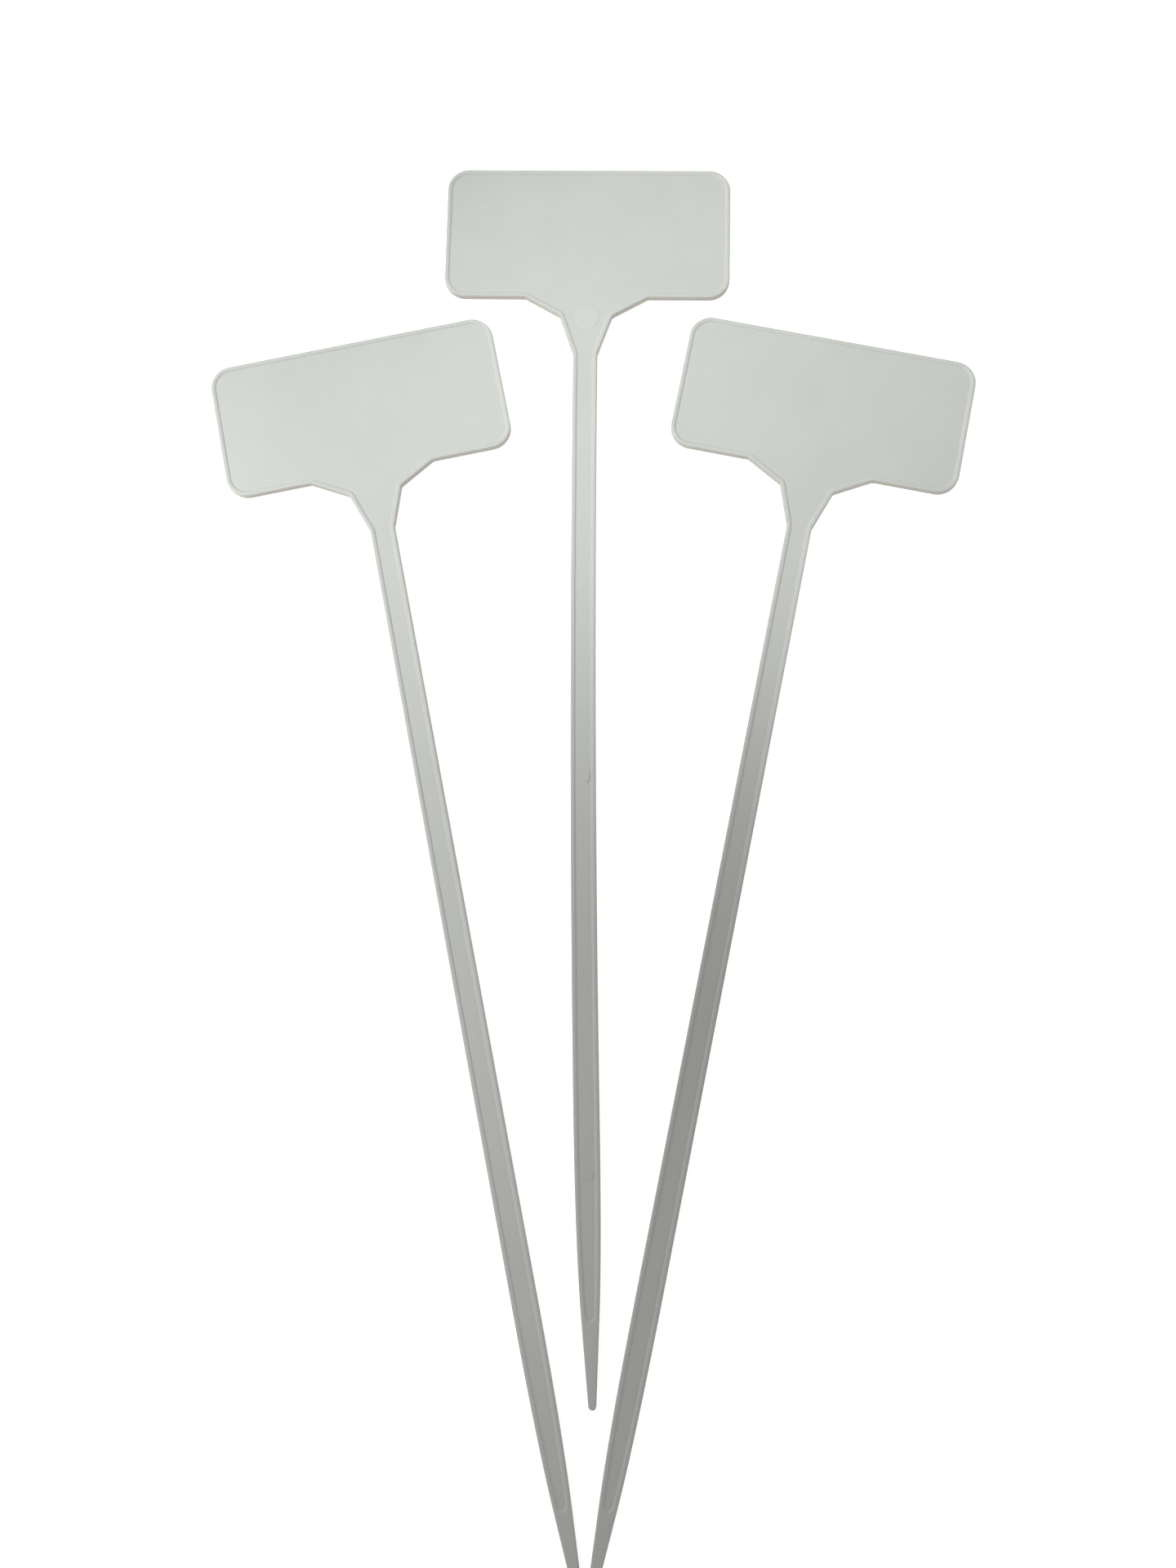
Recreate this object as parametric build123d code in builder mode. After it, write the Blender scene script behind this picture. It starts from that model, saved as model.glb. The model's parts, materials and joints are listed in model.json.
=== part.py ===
"""A set of three T-shaped plant label stakes, each one flat plastic moulding, laid out as a fan."""

import os
from math import asin, atan2, cos, hypot, radians, sin, tan

from build123d import *

# Writing plate, in millimetres
plate_width = 60.0
plate_height = 28.8
plate_corner_radius = 4.5

# Neck, two straight steps that narrow from the plate to the shank
shoulder_width = 25.8
shoulder_height = 4.15
waist_width = 11.0
waist_height = 8.4
neck_corner_radius = 0.8
collar_length = 4.0

# Shank, its curved taper and its solid point
stake_length = 251.2
shank_width = 5.1
taper_length = 38.6
point_width = 3.5
point_length = 16.5
tip_width = 1.55

# Section: a raised rim round a recess that is open to the front
stake_thickness = 1.6
recess_depth = 0.3
rim_width = 0.9
rim_edge_radius = 0.3
channel_end_bulge = 0.35

# Round pads that the mould leaves standing on the recess floor of the middle stake
pad_height = 0.1
plate_pad_diameter = 4.2
plate_pad_spacing = 44.2
plate_pad_drop = 6.5
neck_pad_diameter = 5.2
neck_pad_drop = 33.4
gate_pad_diameter = 2.9
gate_pad_drop = 130.6
low_pad_diameter = 2.6
low_pad_drop = 208.3

# Sideways set that the middle stake's shank has taken: an angle in degrees, and a bow reached at its tip
middle_lean = 0.6
middle_bow = 3.8

# Fan: the side tips lie close together, and the middle plate clears the plates below it
left_turn = 12.43
right_turn = -10.52
tip_clearance = 0.65
plate_clearance = 3.54
middle_offset = -5.28

# Places along one stake, measured down from the plate's top edge
neck_bottom = plate_height + shoulder_height + waist_height
shank_top = neck_bottom + collar_length
channel_end = stake_length - point_length
taper_top = channel_end - taper_length
tip_radius = tip_width / 2
tip_centre = stake_length - tip_radius
floor_level = stake_thickness - recess_depth

# The point's sides touch the round tip, and would meet at the apex below it
point_run = tip_centre - channel_end
half_point = point_width / 2
point_angle = atan2(half_point, point_run) - asin(tip_radius / hypot(half_point, point_run))
apex = tip_centre + tip_radius / sin(point_angle)


def shank_line(drop, lean, bow):
    """Gives the shank's middle at the distance drop below the plate's top edge, and the way it runs there."""
    run = stake_length - shank_top
    share = (drop - shank_top) / run
    slope = tan(radians(lean))
    middle = Vector(slope * (drop - neck_bottom) + bow * share**2, -drop)
    return middle, Vector(slope + 2 * bow * share / run, -1)


def edge_point(side, drop, width, lean, bow):
    """Gives the point of one long edge at the distance drop, on a shank that is that wide there."""
    middle, _ = shank_line(drop, lean, bow)
    return middle + Vector(side * width / 2, 0)


def inset_chain(points, inset):
    """Moves a clockwise chain of points inwards, square to its straight runs."""
    runs = [(Vector(*end) - Vector(*start)).normalized() for start, end in zip(points, points[1:])]
    inward = [Vector(run.Y, -run.X) for run in runs]
    before_and_after = zip(inward[:1] + inward, inward + inward[-1:])
    return [
        Vector(*point) + (before + after) * (inset / (1 + before.dot(after)))
        for point, (before, after) in zip(points, before_and_after)
    ]


def draw_long_edge(side, inset, lean, bow):
    """Draws one long edge, moved inwards by inset: along the shank, then curving in to the point's side."""
    inner_shank = shank_width - 2 * inset
    top = edge_point(side, shank_top, inner_shank, lean, bow)
    _, top_run = shank_line(shank_top, lean, bow)
    bend = edge_point(side, taper_top, inner_shank, lean, bow)
    _, bend_run = shank_line(taper_top, lean, bow)
    foot = edge_point(side, channel_end, point_width - 2 * inset, lean, bow)
    foot_run = edge_point(0, apex, 0, lean, bow) - edge_point(side, channel_end, point_width, lean, bow)
    Bezier(top, top + top_run * (taper_top - shank_top) / 2, bend)
    reach = (foot - bend).cross(foot_run).Z / bend_run.cross(foot_run).Z
    Bezier(bend, bend + bend_run * reach, foot)


def draw_sides(inset, lean, bow):
    """Draws the outline of plate, neck and shank down to the end of the channel, moved inwards by inset."""
    right_corners = [
        (plate_width / 2, 0),
        (plate_width / 2, -plate_height),
        (shoulder_width / 2, -plate_height),
        (waist_width / 2, -plate_height - shoulder_height),
        (shank_width / 2, -neck_bottom),
    ]
    left_corners = [(-x, y) for x, y in reversed(right_corners)]
    left_end, right_end = [edge_point(side, shank_top, shank_width, lean, bow) for side in (-1, 1)]
    corners = inset_chain([left_end, *left_corners, *right_corners, right_end], inset)[1:-1]
    inner_shank = shank_width - 2 * inset
    left_end, right_end = [edge_point(side, shank_top, inner_shank, lean, bow) for side in (-1, 1)]
    right_radii = [plate_corner_radius - inset] * 2 + [neck_corner_radius + inset] * 3
    FilletPolyline(left_end, *corners, right_end, radius=right_radii[::-1] + right_radii)
    draw_long_edge(-1, inset, lean, bow)
    draw_long_edge(1, inset, lean, bow)


def outer_outline(lean, bow):
    """Gives the edges of one stake: plate top edge through the origin, point towards -Y."""
    left, right = [edge_point(side, channel_end, point_width, lean, bow) for side in (-1, 1)]
    with BuildLine() as outline:
        draw_sides(0.0, lean, bow)
        FilletPolyline(left, edge_point(0, apex, 0, lean, bow), right, radius=tip_radius)
    return outline.edges()


def recess_outline(lean, bow):
    """Gives the edges of the recess inside the rim, with a bulged end above the solid point."""
    inner_point = point_width - 2 * rim_width
    left, middle, right = [edge_point(side, channel_end, inner_point, lean, bow) for side in (-1, 0, 1)]
    with BuildLine() as outline:
        draw_sides(rim_width, lean, bow)
        ThreePointArc(left, middle + Vector(0, -channel_end_bulge), right)
    return outline.edges()


def make_stake(label, lay, lean=0.0, bow=0.0, pads=()):
    """Makes one stake with its back on the plane lay; pads lists diameter, x and drop of each pad."""
    with BuildPart() as stake:
        with BuildSketch(lay):
            make_face(outer_outline(lean, bow))
        extrude(amount=stake_thickness)
        front = stake.faces().sort_by(Axis.Z)[-1]
        fillet(front.edges(), rim_edge_radius)

        with BuildSketch(lay.offset(floor_level)):
            make_face(recess_outline(lean, bow))
        extrude(amount=recess_depth, mode=Mode.SUBTRACT)

        for diameter, x, drop in pads:
            with BuildSketch(lay.offset(floor_level)):
                with Locations((x, -drop)):
                    Circle(diameter / 2)
            extrude(amount=pad_height)
    stake.part.label = label
    export_step(stake.part, f"parts/{label}.step")
    print(f"{label}: {stake.part.volume:.1f} mm3")


def head_place(tip_x, turn):
    """Gives the middle of a plate's top edge, for a stake turned about its tip on the fan's base line."""
    return tip_x - sin(radians(turn)) * tip_centre, cos(radians(turn)) * tip_centre


# Heads of the fan, from a base line through the centres of the side tips
side_tip_x = (tip_width + tip_clearance) / 2
left_head = head_place(-side_tip_x, left_turn)
right_head = head_place(side_tip_x, right_turn)
left_corner_y = left_head[1] + sin(radians(left_turn)) * plate_width / 2
right_corner_y = right_head[1] - sin(radians(right_turn)) * plate_width / 2
middle_head = (middle_offset, max(left_corner_y, right_corner_y) + plate_clearance + plate_height)

# Middle of the fan's box: its widest points are on the outer top corners of the side plates
corner_x = plate_width / 2 - plate_corner_radius
left_corner_x = -cos(radians(left_turn)) * corner_x + sin(radians(left_turn)) * plate_corner_radius
right_corner_x = cos(radians(right_turn)) * corner_x + sin(radians(right_turn)) * plate_corner_radius
centre_x = (left_head[0] + left_corner_x + right_head[0] + right_corner_x) / 2
centre_y = (middle_head[1] - tip_radius) / 2


def lay_plane(head, turn):
    """Gives the table plane of a stake, with its origin at the middle of the plate's top edge."""
    return Plane(
        origin=(head[0] - centre_x, head[1] - centre_y, 0),
        x_dir=(cos(radians(turn)), sin(radians(turn)), 0),
        z_dir=(0, 0, 1),
    )


middle_pads = [
    (plate_pad_diameter, -plate_pad_spacing / 2, plate_pad_drop),
    (plate_pad_diameter, plate_pad_spacing / 2, plate_pad_drop),
    (neck_pad_diameter, 0.0, neck_pad_drop),
    (gate_pad_diameter, shank_line(gate_pad_drop, middle_lean, middle_bow)[0].X, gate_pad_drop),
    (low_pad_diameter, shank_line(low_pad_drop, middle_lean, middle_bow)[0].X, low_pad_drop),
]

os.makedirs("parts", exist_ok=True)
make_stake("left_stake", lay_plane(left_head, left_turn))
make_stake("middle_stake", lay_plane(middle_head, 0.0), middle_lean, middle_bow, middle_pads)
make_stake("right_stake", lay_plane(right_head, right_turn))
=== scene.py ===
# %% [markdown]
# # Plant label stakes, fanned out on a white table
# Each label is one flat moulding of pale grey polypropylene: a rimmed writing plate, a neck in two steps,
# and a long grooved shank with a solid point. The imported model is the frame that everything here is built
# on. It gives the place and turn of each stake, so nothing has to be fitted by eye.

# %% Load the frame
import json
from math import asin, atan2, ceil, copysign, cos, hypot, pi, radians, sin, tan

import bmesh
import bpy
from mathutils import Matrix, Vector
from mathutils.geometry import delaunay_2d_cdt


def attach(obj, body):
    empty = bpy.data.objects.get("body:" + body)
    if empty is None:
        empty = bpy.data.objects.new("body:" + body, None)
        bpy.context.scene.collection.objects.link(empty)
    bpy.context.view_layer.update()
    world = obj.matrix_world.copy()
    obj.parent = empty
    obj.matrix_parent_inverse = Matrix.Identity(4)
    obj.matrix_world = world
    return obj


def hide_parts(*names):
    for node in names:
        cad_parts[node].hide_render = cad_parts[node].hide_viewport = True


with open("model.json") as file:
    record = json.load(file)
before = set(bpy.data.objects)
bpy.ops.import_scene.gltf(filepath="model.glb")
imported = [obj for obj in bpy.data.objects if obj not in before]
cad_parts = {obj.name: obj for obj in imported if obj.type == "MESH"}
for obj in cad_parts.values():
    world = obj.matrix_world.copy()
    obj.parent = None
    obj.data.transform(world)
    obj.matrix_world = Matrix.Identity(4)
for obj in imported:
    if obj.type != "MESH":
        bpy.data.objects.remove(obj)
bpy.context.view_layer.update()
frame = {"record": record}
MM = 0.001

# %% [markdown]
# ## Camera
# The photograph was taken from about a third of a metre above the table, looking almost straight down, from
# a place a little below the middle of the stakes. The camera comes first, because every later choice is
# judged through it. It is written as a place and three turns: how far the view is swung round, tipped up and
# rolled. Aiming it at a target would be quicker, but three turns can be matched to a picture one by one.

# %% Camera
camera_place_mm = Vector((11.888, -42.705, 318.185))
# Turns in degrees
camera_swing = 11.375
camera_tip = 9.644
camera_roll = -10.27

camera_data = bpy.data.cameras.new("camera")
camera_data.sensor_fit = "VERTICAL"
camera_data.sensor_height = 36.0
camera_data.lens = 37.03
camera_data.clip_start = 0.01
camera = bpy.data.objects.new("camera", camera_data)
camera.matrix_world = (
    Matrix.Translation(camera_place_mm * MM)
    @ Matrix.Rotation(radians(camera_swing), 4, "Z")
    @ Matrix.Rotation(radians(camera_tip), 4, "X")
    @ Matrix.Rotation(radians(camera_roll), 4, "Z")
)
bpy.context.collection.objects.link(camera)
bpy.context.scene.camera = camera
bpy.context.scene.view_settings.view_transform = "Standard"
print("camera stands", round(camera_place_mm.z), "mm over the table")

# %% [markdown]
# ## Outline of one stake
# Seen from the front, a stake is a smooth closed line: four round plate corners, three soft inner corners on
# each side of the neck, straight shank edges, a long curve into the point and a round tip. Only the right
# half is drawn, from the middle of the top edge down to the tip. Each point also carries its inward
# direction, so that moving all points inwards by one distance gives the next ring of the moulding, with every
# corner still round. Scaling the whole outline would be simpler, but would make the rim uneven.

# %% Sizes of one stake, in millimetres
plate_width = 60.0
plate_height = 28.8
plate_corner_radius = 4.5
shoulder_width = 25.8
shoulder_height = 4.15
waist_width = 11.0
waist_height = 8.4
neck_corner_radius = 0.8
collar_length = 4.0
stake_length = 251.2
shank_width = 5.1
taper_length = 38.6
point_width = 3.5
point_length = 16.5
tip_width = 1.55

neck_bottom = plate_height + shoulder_height + waist_height
shank_top = neck_bottom + collar_length
channel_end = stake_length - point_length
taper_top = channel_end - taper_length
tip_radius = tip_width / 2
tip_centre = stake_length - tip_radius
half_point = point_width / 2
point_run = tip_centre - channel_end
point_angle = atan2(half_point, point_run) - asin(tip_radius / hypot(half_point, point_run))
print("neck ends at", neck_bottom, "mm, channel ends at", round(channel_end, 2), "mm below the top edge")

# %% Walk along the right half of the outline
corner_step = radians(7.5)
fewest_corner_steps = 3
shank_steps = 30
taper_steps = 18
taper_share = 0.97  # the recess starts to round off just above the end of the taper
point_steps = 5
tip_steps = 10


def inward_of(run):
    """Turns a run of the clockwise outline to the right, which is inwards."""
    return Vector((run.y, -run.x)).normalized()


def round_corner(before, corner, after, radius):
    """Gives the points and inward directions round one corner between two straight runs."""
    run_in = (corner - before).normalized()
    run_out = (after - corner).normalized()
    turn = run_in.angle_signed(run_out)
    start = corner - run_in * radius * tan(abs(turn) / 2)
    bulge = copysign(radius, turn)
    centre = start + inward_of(run_in) * bulge
    steps = max(fewest_corner_steps, ceil(abs(turn) / corner_step))
    for k in range(steps + 1):
        inward = Matrix.Rotation(-turn * k / steps, 2) @ inward_of(run_in)
        yield centre - inward * bulge, inward


def right_half():
    """Gives the right half of the outline, and where in it the channel ends."""
    corners = [
        Vector((0, 0)),
        Vector((plate_width / 2, 0)),
        Vector((plate_width / 2, -plate_height)),
        Vector((shoulder_width / 2, -plate_height)),
        Vector((waist_width / 2, -plate_height - shoulder_height)),
        Vector((shank_width / 2, -neck_bottom)),
        Vector((shank_width / 2, -shank_top)),
    ]
    radii = [plate_corner_radius] * 2 + [neck_corner_radius] * 3
    walk = [(corners[0], Vector((0, -1)))]
    for before, corner, after, radius in zip(corners, corners[1:], corners[2:], radii):
        walk += round_corner(before, corner, after, radius)

    for k in range(shank_steps + 1):
        drop = shank_top + (taper_top - shank_top) * k / shank_steps
        walk.append((Vector((shank_width / 2, -drop)), Vector((-1, 0))))

    bend = Vector((shank_width / 2, -taper_top))
    foot = Vector((half_point, -channel_end))
    knee = Vector((shank_width / 2, foot.y + (shank_width / 2 - half_point) / tan(point_angle)))
    for k in range(1, taper_steps + 1):
        t = taper_share * k / taper_steps
        place = bend * (1 - t) ** 2 + knee * 2 * t * (1 - t) + foot * t**2
        run = (knee - bend) * (1 - t) + (foot - knee) * t
        walk.append((place, inward_of(run)))
    channel_index = len(walk) - 1

    centre = Vector((0, -tip_centre))
    side_inward = Vector((-cos(point_angle), sin(point_angle)))
    touch = centre - side_inward * tip_radius
    for k in range(1, point_steps):
        walk.append((foot.lerp(touch, k / point_steps), side_inward))
    for k in range(tip_steps + 1):
        inward = Matrix.Rotation(-(pi / 2 - point_angle) * k / tip_steps, 2) @ side_inward
        walk.append((centre - inward * tip_radius, inward))
    return walk, channel_index


half, foot_index = right_half()
mirrored = [(Vector((-p.x, p.y)), Vector((-q.x, q.y))) for p, q in reversed(half[1:-1])]
outline = half + mirrored
tip_index = len(half) - 1
print("outline has", len(outline), "points; lowest", round(min(p.y for p, _ in outline), 3), "mm")

# %% [markdown]
# ## Section through the rim
# The mould was cut with a round-nosed tool, so no edge of the plastic is sharp, and the rim looks like a soft
# bead. From the table up, the section goes round a small back edge, up a wall that leans in a little so that
# the piece leaves the mould, over the rounded rim, and down a sloped inner wall with a soft foot into the
# recess. Each step of the section is a pair: how far in from the outline, and how high above the table. A
# bevel would do the same for a plain plate, but here the pairs keep the sizes of the section in plain sight.

# %% Section of the rim, in millimetres
stake_thickness = 1.6
recess_depth = 0.3
rim_width = 0.9
back_edge_radius = 0.12
wall_lean = 0.03
rim_outer_radius = 0.28
rim_inner_radius = 0.55
recess_foot_radius = 0.1
recess_wall_angle = radians(50)
wall_shift = -0.08  # from the plain rim width to the middle of the sloped inner wall
round_steps = 7
floor_level = stake_thickness - recess_depth


def outer_section():
    """Gives the section from the back face, up the wall, to the flat crest of the rim."""
    section = []
    for k in range(round_steps):
        angle = pi / 2 * k / (round_steps - 1)
        section.append((back_edge_radius * (1 - sin(angle)), back_edge_radius * (1 - cos(angle))))
    for k in range(round_steps + 1):
        angle = pi / 2 * k / round_steps
        inset = wall_lean + rim_outer_radius * (1 - cos(angle))
        section.append((inset, stake_thickness - rim_outer_radius * (1 - sin(angle))))
    return section


def inner_section():
    """Gives the section from the crest of the rim down to the recess floor."""
    round_share = 1 - cos(recess_wall_angle)
    straight_drop = recess_depth - (rim_inner_radius + recess_foot_radius) * round_share
    straight_run = straight_drop / tan(recess_wall_angle)
    round_run = (rim_inner_radius + recess_foot_radius) * sin(recess_wall_angle)
    crest_edge = rim_width + wall_shift - (straight_run + round_run) / 2
    floor_edge = rim_width + wall_shift + (straight_run + round_run) / 2
    section = []
    for k in range(round_steps + 1):
        angle = recess_wall_angle * k / round_steps
        inset = crest_edge + rim_inner_radius * sin(angle)
        section.append((inset, stake_thickness - rim_inner_radius * (1 - cos(angle))))
    for k in range(round_steps + 1):
        angle = recess_wall_angle * (1 - k / round_steps)
        inset = floor_edge - recess_foot_radius * sin(angle)
        section.append((inset, floor_level + recess_foot_radius * (1 - cos(angle))))
    return section


floor_inset = inner_section()[-1][0]
print("recess floor starts", round(floor_inset, 3), "mm in from the outline")

# %% [markdown]
# ## The moulding as a mesh
# The rings of the section are joined by strips of faces. The recess has its own closed loop: down the rim's
# right side, round the end above the point, and up its left side. A strip along the crest joins it to the
# outer rings, and the point's top is solid. Modelling a box and cutting the recess out with a boolean would
# leave ragged corners where the soft edges meet, so all faces are laid one by one.

# %% Rings and strips
channel_end_bulge = 0.35
end_wall_steps = 14


def outer_ring(bm, inset, height):
    """Adds one ring of vertices all round the stake."""
    return [bm.verts.new((*(place + inward * inset), height)) for place, inward in outline]


def recess_ring(bm, inset, height):
    """Adds one ring of vertices round the recess: right side down, end wall, left side up."""
    side = [place + inward * inset for place, inward in outline]
    foot = side[foot_index]
    depth = foot.y + channel_end + channel_end_bulge + rim_width - inset
    angles = [pi * k / end_wall_steps for k in range(1, end_wall_steps)]
    end_wall = [Vector((foot.x * cos(angle), foot.y - depth * sin(angle))) for angle in angles]
    loop = side[: foot_index + 1] + end_wall + side[-foot_index:]
    return [bm.verts.new((*place, height)) for place in loop]


def join_rings(bm, lower, upper):
    """Lays a closed strip of faces between two rings of the same length."""
    for k, corner in enumerate(lower):
        bm.faces.new((corner, upper[k], upper[k - 1], lower[k - 1]))


def lay_crest(bm, rim, edge):
    """Lays the flat top: a strip along the rim, and the solid top of the point."""
    left_foot = len(rim) - foot_index
    for k in range(foot_index):
        bm.faces.new((rim[k], rim[k + 1], edge[k + 1], edge[k]))
        bm.faces.new((rim[-k], rim[-k - 1], edge[-k - 1], edge[-k]))
    end_wall = edge[foot_index : foot_index + end_wall_steps + 1]
    bm.faces.new([rim[left_foot], rim[left_foot - 1], rim[foot_index + 1], rim[foot_index], *end_wall])
    for k in range(foot_index + 1, tip_index - 1):
        bm.faces.new((rim[k], rim[k + 1], rim[-k - 1], rim[-k]))
    bm.faces.new((rim[tip_index - 1], rim[tip_index], rim[tip_index + 1]))


print("outer rings have", len(outline), "points, recess rings", 2 * foot_index + end_wall_steps)

# %% [markdown]
# ## Recess floor and its round pads
# The pins that push a moulding out of its mould leave round pads, which stand a few hundredths of a
# millimetre above the floor. A pin's face is smoother or rougher than the mould round it, so a pad can also
# look a little lighter or darker. Thin discs laid on the floor would do, but the pads belong to the moulding.
# So the floor is one flat sheet, filled by a triangulation that leaves room for them, and their soft edges
# are part of the same closed mesh. A pad's tone is a number on its top face, which the material reads; the
# gate lip's steep side carries painted shade in the same number.

# %% Round pads and floor
pad_points = 48
# The pad's soft edge, as pairs: share of its width, and share of the pad's height
pad_section = [(0.0, 0.0), (0.25, 0.38), (0.5, 0.7), (0.75, 0.92), (1.0, 1.0)]


def pad_ring(bm, centre, radius, height):
    """Adds one round ring of vertices."""
    angles = [2 * pi * k / pad_points for k in range(pad_points)]
    return [bm.verts.new((centre.x + radius * cos(a), centre.y + radius * sin(a), height)) for a in angles]


def raise_pad(bm, centre, radius, height, edge, tone):
    """Builds a low round pad with a soft edge and its own tone, and gives its ring at the floor."""
    rings = [
        pad_ring(bm, centre, radius - edge * inset, floor_level + height * lift)
        for inset, lift in pad_section
    ]
    for lower, upper in zip(rings, rings[1:]):
        join_rings(bm, lower, upper)
    face = bm.faces.new(rings[-1])
    face[bm.faces.layers.float["pin_tone_and_shade"]] = tone
    return rings[0]


def fill_floor(bm, edge, pads):
    """Fills the recess floor inside its edge, around the pads."""
    loops = [edge] + [raise_pad(bm, Vector((x, -drop)), *size) for x, drop, *size in pads]
    corners = [vertex for loop in loops for vertex in loop]
    rims = []
    first = 0
    for loop in loops:
        rims += [(first + k, first + (k + 1) % len(loop)) for k in range(len(loop))]
        first += len(loop)
    flat = [corner.co.xy for corner in corners]
    inside_only = 1
    same_place = 1e-6
    points, _, triangles, origins, _, _ = delaunay_2d_cdt(flat, rims, [], inside_only, same_place)
    source = [origin[0] for origin in origins]
    clear = cos(pi / pad_points)
    for triangle in triangles:
        centre = sum((points[k] for k in triangle), Vector((0, 0))) / 3
        if all((centre - Vector((x, -drop))).length > radius * clear for x, drop, radius, *_ in pads):
            bm.faces.new([corners[source[k]] for k in triangle])


print("each pad has", len(pad_section), "rings of", pad_points, "points")

# %% [markdown]
# ## Torn gate on the middle stake
# Plastic entered the mould through a small hole in the middle of the shank. When the piece was pulled off,
# the gate tore and left a thin hooked lip at the right of its pad: a fin with a smooth slope on its left, and
# a steep, torn side on its right, in painted shade. It is high in the middle, low at both ends, a little
# ragged.
# A bevelled curve would give a round bead without these two sides, so the fin is built row by row.

# %% Gate lip
# Start, bend and end of the lip, from the middle of its pad
gate_lip_line = [Vector((1.2, 1.0)), Vector((1.5, -0.6)), Vector((0.85, -1.5))]
gate_lip_slope = 0.26
gate_lip_tear = 0.17
gate_lip_foot = -0.02
gate_lip_top = 0.265
gate_lip_steps = 22
gate_lip_ends = 0.15  # share of a half wave that is cut off at each end
# painted shade: darkens the lip's steep right side, where its own shadow falls
gate_tear_painted_shade = -0.1
# Waves that make the lip ragged: share of its height, and angle in radians from end to end
gate_lip_rags = [(0.09, 19), (0.05, 47)]


def raise_gate_lip(bm, drop):
    """Builds the torn lip as a closed fin that stands in the pad's top."""
    foot = floor_level + gate_lip_foot
    start, bend, end = gate_lip_line
    rows = []
    for k in range(gate_lip_steps + 1):
        t = k / gate_lip_steps
        place = start * (1 - t) ** 2 + bend * 2 * t * (1 - t) + end * t**2
        side = -inward_of((bend - start) * (1 - t) + (end - bend) * t)
        swell = sin(pi * (gate_lip_ends + (1 - 2 * gate_lip_ends) * t)) ** 0.5
        ragged = 1 + sum(share * sin(wave * t) for share, wave in gate_lip_rags)
        top = foot + (gate_lip_top - gate_lip_foot) * swell * ragged
        corners = [(-gate_lip_slope * swell, foot), (0, top), (gate_lip_tear * swell, foot)]
        points = [(*(place + side * across - Vector((0, drop))), height) for across, height in corners]
        rows.append([bm.verts.new(point) for point in points])
    for row, following in zip(rows, rows[1:]):
        sides = [bm.faces.new((row[k], following[k], following[k - 1], row[k - 1])) for k in range(3)]
        # the steep right side gets painted shade through the tone number
        sides[2][bm.faces.layers.float["pin_tone_and_shade"]] = gate_tear_painted_shade
    bm.faces.new(rows[0])
    bm.faces.new(reversed(rows[-1]))


print("gate lip stands", gate_lip_top, "mm above the recess floor")

# %% [markdown]
# ## Placing the three stakes
# The record's mounts say where each plate's middle is, and which way its point looks. The middle stake's
# shank has also taken a sideways set: it leaves the neck at a slight angle and bows further towards the tip.
# The set moves each point sideways by its distance down the shank, so the section stays as it was moulded. A
# lattice would bend the shank too, but the set needs only two numbers that can be read off a picture.

# %% Build and place the stakes
middle_lean = 0.6  # degrees, from the neck on
middle_bow = 3.8  # millimetres, reached at the tip
gate_drop = 130.6
# Each pad: place across the stake, distance below the plate's top edge, radius, height, soft edge, tone
middle_pads = [
    (-22.1, 6.5, 2.1, 0.03, 0.3, 0.0),
    (22.1, 6.5, 2.1, 0.03, 0.3, 0.0),
    (0.15, 33.2, 2.6, 0.03, 0.2, 0.035),
    (0.0, gate_drop, 1.43, 0.02, 0.3, 0.0),
    (0.0, 208.3, 1.3, 0.09, 0.15, -0.035),
]
flat_limit = 0.9999  # faces that look straight up or down stay flat, the rest are shaded smooth
mounts = {mount["name"]: mount for mount in frame["record"]["mounts"]}


def sideways_set(drop, lean, bow):
    """Gives how far the shank has moved sideways at a distance below the plate's top edge."""
    share = max(drop - shank_top, 0) / (stake_length - shank_top)
    return tan(radians(lean)) * max(drop - neck_bottom, 0) + bow * share**2


def make_stake(side, lean=0.0, bow=0.0, pads=(), gate=None):
    """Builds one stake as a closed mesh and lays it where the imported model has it."""
    bm = bmesh.new()
    bm.faces.layers.float.new("pin_tone_and_shade")
    outer = [outer_ring(bm, inset, height) for inset, height in outer_section()]
    inner = [recess_ring(bm, inset, height) for inset, height in inner_section()]
    bm.faces.new(outer[0])
    for rings in (outer, inner):
        for lower, upper in zip(rings, rings[1:]):
            join_rings(bm, lower, upper)
    lay_crest(bm, outer[-1], inner[0])
    fill_floor(bm, inner[-1], pads)
    if gate:
        raise_gate_lip(bm, gate)

    for vertex in bm.verts:
        vertex.co.x += sideways_set(-vertex.co.y, lean, bow)
    axis = Vector(mounts[f"{side}_point"]["axis"])
    top_edge = Vector(mounts[f"{side}_back"]["pos_m"]) - axis * plate_height / 2 * MM
    turn = Matrix.Rotation(atan2(axis.x, -axis.y), 4, "Z")
    bm.transform(Matrix.Translation(top_edge) @ turn @ Matrix.Scale(MM, 4))
    bmesh.ops.recalc_face_normals(bm, faces=bm.faces)
    for face in bm.faces:
        face.smooth = abs(face.normal.z) < flat_limit
    loose = sum(1 for edge in bm.edges if not edge.is_manifold)

    mesh = bpy.data.meshes.new(f"{side}_label")
    bm.to_mesh(mesh)
    bm.free()
    label = bpy.data.objects.new(f"{side}_label", mesh)
    bpy.context.collection.objects.link(label)
    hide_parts(f"{side}_stake")
    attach(label, side)
    print(label.name, len(mesh.polygons), "faces,", loose, "open edges")
    return label


labels = [
    make_stake("left"),
    make_stake("middle", middle_lean, middle_bow, middle_pads, gate_drop),
    make_stake("right"),
]

# %% [markdown]
# ## Polypropylene, as moulded
# The labels are polypropylene with a little white and grey pigment. The mould's face was left with a fine
# spark-eroded grain, which scatters the light: no sharp reflection shows, only a broad soft sheen. The melt
# also mixes a little unevenly, so the grey clouds over a centimetre or so. One flat grey would look drawn, so
# noise at the sizes of the clouds, the grain and a slow swell of the surface varies tone, gloss and bump.
# Polypropylene has an IOR of 1.49.

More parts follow.
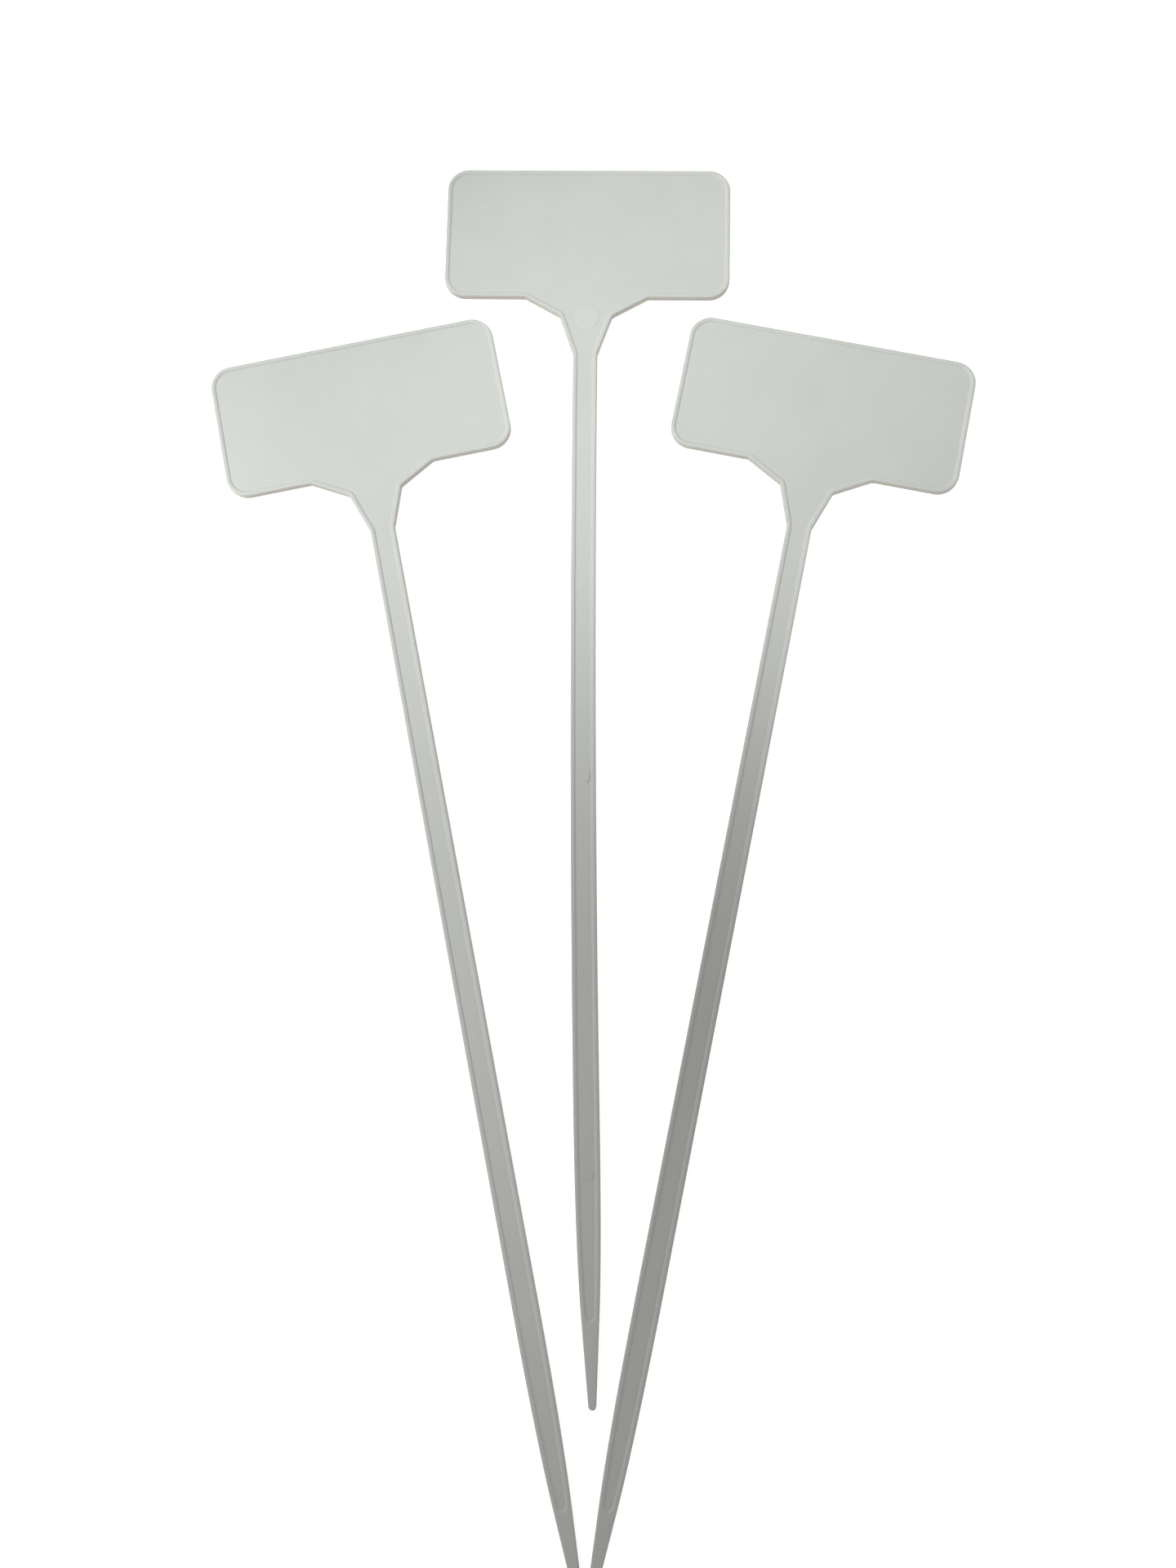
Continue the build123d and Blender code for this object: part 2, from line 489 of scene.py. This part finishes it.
# %% Colour and node helpers
def to_linear(hex_colour):
    """Turns an sRGB hex colour into the linear values that the shaders use."""
    values = [int(hex_colour[k : k + 2], 16) / 255 for k in (1, 3, 5)]
    return (*[v / 12.92 if v <= 0.04045 else ((v + 0.055) / 1.055) ** 2.4 for v in values], 1.0)


def add_node(tree, kind, inputs=None, **settings):
    """Adds a node, sets its own settings, and sets or links its inputs."""
    node = tree.nodes.new(kind)
    for name, value in settings.items():
        setattr(node, name, value)
    for name, value in (inputs or {}).items():
        if isinstance(value, bpy.types.NodeSocket):
            tree.links.new(value, node.inputs[name])
        else:
            node.inputs[name].default_value = value
    return node


def new_material(name):
    """Starts an empty node material and gives it with its node tree."""
    material = bpy.data.materials.new(name)
    material.use_nodes = True
    material.node_tree.nodes.clear()
    return material, material.node_tree


print("sRGB grey #808080 is", round(to_linear("#808080")[0], 3), "in linear light")

# %% Polypropylene with a spark-eroded grain
grain_mm = 0.3  # real grain is near 0.05 mm; drawn coarser so that it shows
cloud_mm = 11.0
swell_mm = 6.0
polypropylene_ior = 1.49


def moulded_polypropylene():
    """Pale grey polypropylene: cloudy grey, fine grain, broad soft sheen."""
    material, tree = new_material("moulded_polypropylene_spark_grain")
    place = add_node(tree, "ShaderNodeTexCoord").outputs["Object"]
    clouds = add_node(
        tree,
        "ShaderNodeTexNoise",
        {"Vector": place, "Scale": 1 / (cloud_mm * MM), "Detail": 4.0, "Roughness": 0.55},
    )
    grain = add_node(
        tree,
        "ShaderNodeTexNoise",
        {"Vector": place, "Scale": 1 / (grain_mm * MM), "Detail": 3.0, "Roughness": 0.6},
    )
    swell = add_node(
        tree, "ShaderNodeTexNoise", {"Vector": place, "Scale": 1 / (swell_mm * MM), "Detail": 1.0}
    )
    cloud_grey = add_node(
        tree,
        "ShaderNodeMix",
        {"Factor": clouds.outputs["Fac"], "A": to_linear("#D8DCD5"), "B": to_linear("#E1E5DE")},
        data_type="RGBA",
    )
    speckle = add_node(
        tree,
        "ShaderNodeMapRange",
        {"Value": grain.outputs["Fac"], "From Min": 0.3, "From Max": 0.7, "To Min": 0.975, "To Max": 1.02},
    )
    # pad tones, and painted shade on the gate lip's steep right side
    pin_tone_and_shade = add_node(tree, "ShaderNodeAttribute", attribute_name="pin_tone_and_shade").outputs["Fac"]
    tone = add_node(tree, "ShaderNodeMath", {0: speckle.outputs["Result"], 1: pin_tone_and_shade}, operation="ADD")
    grey = add_node(
        tree,
        "ShaderNodeMix",
        {"Factor": 1.0, "A": cloud_grey.outputs["Result"], "B": tone.outputs["Value"]},
        data_type="RGBA",
        blend_type="MULTIPLY",
    )
    sheen_break = add_node(
        tree,
        "ShaderNodeMapRange",
        {"Value": clouds.outputs["Fac"], "From Min": 0.3, "From Max": 0.7, "To Min": 0.46, "To Max": 0.56},
    )
    swell_bump = add_node(
        tree, "ShaderNodeBump", {"Strength": 0.12, "Distance": 0.05 * MM, "Height": swell.outputs["Fac"]}
    )
    grain_bump = add_node(
        tree,
        "ShaderNodeBump",
        {
            "Strength": 0.25,
            "Distance": 0.03 * MM,
            "Height": grain.outputs["Fac"],
            "Normal": swell_bump.outputs["Normal"],
        },
    )
    shader = add_node(
        tree,
        "ShaderNodeBsdfPrincipled",
        {
            "Base Color": grey.outputs["Result"],
            "Roughness": sheen_break.outputs["Result"],
            "IOR": polypropylene_ior,
            "Normal": grain_bump.outputs["Normal"],
        },
    )
    add_node(tree, "ShaderNodeOutputMaterial", {"Surface": shader.outputs["BSDF"]})
    return material


polypropylene = moulded_polypropylene()
for label in labels:
    label.data.materials.append(polypropylene)
print("material", polypropylene.name, "on", len(labels), "labels")

# %% [markdown]
# ## Table
# The table is a plain pale board with a warm tint, which shows as a brownish bounce on the plastic's lower
# walls. The photograph's ground is pure white, so the rays that show the background see the board with some
# plain white added, and it still keeps the soft shadows beside the plastic. Stronger lamps would turn the
# ground white too, but the pale plastic with it.

# %% Table
table_reach = 1.5  # metres each way
table_gap_mm = 0.03  # keeps the board clear of the plastic's back
table_white = 0.8  # plain white that is added where the board is seen


def sight_rays(tree):
    """Gives 1 for the rays that show the background: from the camera, off a gloss or through glass."""
    rays = add_node(tree, "ShaderNodeLightPath").outputs
    seen = rays["Is Camera Ray"]
    for name in ("Is Glossy Ray", "Is Transmission Ray"):
        either = add_node(tree, "ShaderNodeMath", {0: seen, 1: rays[name]}, operation="MAXIMUM")
        seen = either.outputs["Value"]
    return seen


def pale_board():
    """Matt pale board: warm where it throws light on the plastic, white where the camera sees it."""
    material, tree = new_material("matt_painted_pale_board")
    warm = add_node(tree, "ShaderNodeBsdfDiffuse", {"Color": to_linear("#E6D5C6")})
    pale = add_node(tree, "ShaderNodeBsdfDiffuse", {"Color": to_linear("#F2F2F2")})
    white = add_node(tree, "ShaderNodeEmission", {"Color": to_linear("#FFFFFF"), "Strength": table_white})
    seen = add_node(tree, "ShaderNodeAddShader", {0: pale.outputs["BSDF"], 1: white.outputs["Emission"]})
    board = add_node(
        tree,
        "ShaderNodeMixShader",
        {0: sight_rays(tree), 1: warm.outputs["BSDF"], 2: seen.outputs["Shader"]},
    )
    add_node(tree, "ShaderNodeOutputMaterial", {"Surface": board.outputs["Shader"]})
    return material


table_mesh = bpy.data.meshes.new("table")
table_signs = ((-1, -1), (1, -1), (1, 1), (-1, 1))
table_corners = [(x * table_reach, y * table_reach, -table_gap_mm * MM) for x, y in table_signs]
table_mesh.from_pydata(table_corners, [], [(0, 1, 2, 3)])
table = bpy.data.objects.new("table", table_mesh)
bpy.context.collection.objects.link(table)
table_mesh.materials.append(pale_board())
print("table reaches", table_reach, "m each way")

# %% [markdown]
# ## Pools of light
# Two soft pools make the grey of the plastic change along the stakes, as in the photograph. One lamp stands
# high at the left, covers the plates and fades out down the shanks. The other is wide and weak and shines
# down at the left, so that the right stake is darker than the left one. Area lamps are softer still, but a
# spot lamp with a full blend has a pool whose size and place can be set.

# %% Lamps
def add_pool(name, place_mm, aim_mm, half_angle, power, colour, radius_mm):
    """Adds a lamp whose pool of light fades out softly from its middle to its rim."""
    lamp_data = bpy.data.lights.new(name, "SPOT")
    lamp_data.energy = power
    lamp_data.color = to_linear(colour)[:3]
    lamp_data.shadow_soft_size = radius_mm * MM
    lamp_data.spot_size = 2 * half_angle
    lamp_data.spot_blend = 1.0
    lamp = bpy.data.objects.new(name, lamp_data)
    lamp.location = Vector(place_mm) * MM
    lamp.rotation_euler = (Vector(aim_mm) - Vector(place_mm)).to_track_quat("-Z", "Y").to_euler()
    lamp.visible_camera = False
    bpy.context.collection.objects.link(lamp)
    return lamp


# Each pool: name, place and aim in mm, half angle in radians, power in watts, colour, lamp radius in mm
light_pools = [
    ("plate_lamp", (-200, 120, 600), (44.7, 113.8, 0), 0.198, 9.8, "#FBFFFF", 40),
    ("left_lamp", (-300, 50, 500), (-301, -16, 0), 0.633, 17.35, "#FAFDFF", 40),
]
for pool in light_pools:
    pool_lamp = add_pool(*pool)
    print(pool_lamp.name, "shines with", round(pool_lamp.data.energy, 2), "W")

# %% [markdown]
# ## Fill light
# The rest of the light comes from all round. It is strong near the horizon and dim overhead, and a little
# stronger from the left and from behind, so the sides of the rims get nearly as much of it as the flat faces.
# An even world would be simpler, but would leave the walls of the rims too dark. Where the world itself is
# seen, it is a plain white backdrop instead.

# %% World
fill_colour = "#DFD7D9"
fill_slope = (-0.1, 0.06, -0.95)  # change of strength towards the right, the back and straight up
horizon_white = 1.0


def low_fill_world():
    """Soft light, strong near the horizon and dim overhead; where it is seen, a white backdrop instead."""
    world = bpy.data.worlds.new("low_fill")
    world.use_nodes = True
    tree = world.node_tree
    tree.nodes.clear()
    way = add_node(tree, "ShaderNodeTexCoord").outputs["Generated"]
    along = add_node(tree, "ShaderNodeVectorMath", {0: way, 1: fill_slope}, operation="DOT_PRODUCT")
    grade = add_node(tree, "ShaderNodeMath", {0: along.outputs["Value"], 1: 1.0}, operation="ADD")
    light = add_node(
        tree, "ShaderNodeBackground", {"Color": to_linear(fill_colour), "Strength": grade.outputs["Value"]}
    )
    white = add_node(
        tree, "ShaderNodeBackground", {"Color": to_linear("#FFFFFF"), "Strength": horizon_white}
    )
    mixed = add_node(
        tree,
        "ShaderNodeMixShader",
        {0: sight_rays(tree), 1: light.outputs["Background"], 2: white.outputs["Background"]},
    )
    add_node(tree, "ShaderNodeOutputWorld", {"Surface": mixed.outputs["Shader"]})
    return world


bpy.context.scene.world = low_fill_world()
print("fill light has strength", round(1 + fill_slope[2], 2), "overhead and about 1 at the horizon")
